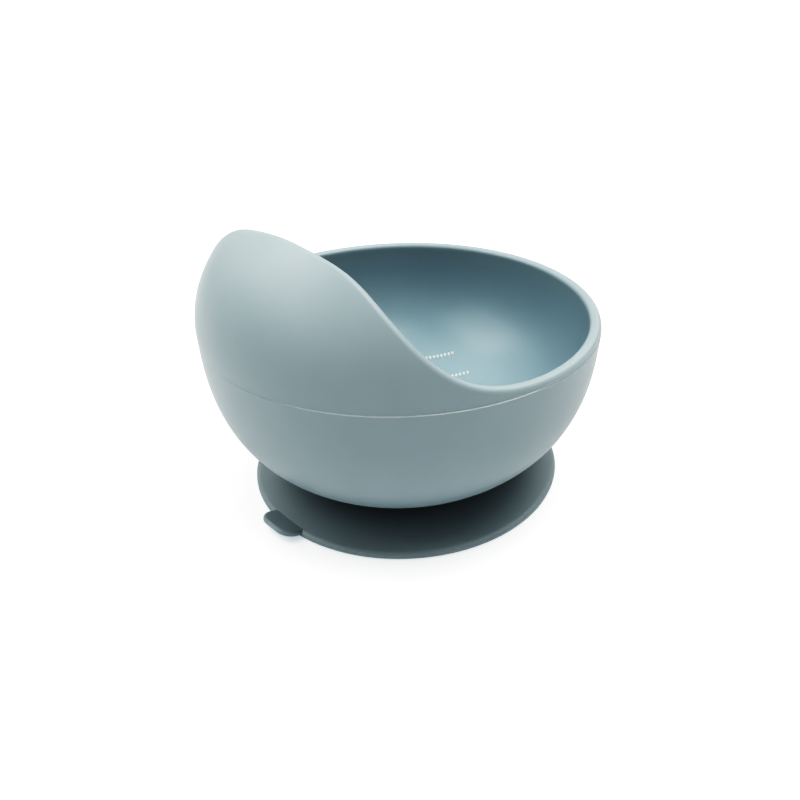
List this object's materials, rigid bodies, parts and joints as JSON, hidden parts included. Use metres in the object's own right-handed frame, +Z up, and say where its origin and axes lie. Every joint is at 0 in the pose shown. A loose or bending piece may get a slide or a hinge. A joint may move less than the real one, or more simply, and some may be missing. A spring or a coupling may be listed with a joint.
{
  "type": "suction bowl",
  "caption": "Round silicone feeding bowl with one high scoop wall, pushed on to the plug of a flexible suction disc with a pull tab.",
  "frame": {"origin": "on the table, at the centre of the suction disc", "axes": "+Z up; -X towards the scoop wall and the pull tab; +X towards the low side of the rim"},
  "size_m": [0.1219, 0.122, 0.0912],
  "materials": {
    "bowl_silicone": "soft satin silicone, pale grey blue",
    "disc_silicone": "soft satin silicone, grey blue"
  },
  "bodies": {
    "suction_base": {"suction_disc": "disc_silicone"},
    "plug": {"neck_plug": "disc_silicone"},
    "bowl": {"bowl": "bowl_silicone"},
    "release_tab": {"release_tab": "disc_silicone"}
  },
  "joints": [
    {"name": "press_down", "type": "slide", "parent": "suction_base", "child": "plug", "axis": [0, 0, -1], "range_m": [0, 0.0024], "stiffness_N_per_m": 600, "springref_m": -0.004, "deforming": ["suction_disc"]},
    {"name": "bowl_lift", "type": "slide", "parent": "plug", "child": "bowl", "axis": [0, 0, 1], "range_m": [0, 0.03]},
    {"name": "tab_lift", "type": "hinge", "parent": "suction_base", "child": "release_tab", "pos_m": [-0.042, 0, 0.0032], "axis": [0, 1, 0], "range_deg": [0, 45], "stiffness_Nm_per_rad": 0.04}
  ]
}
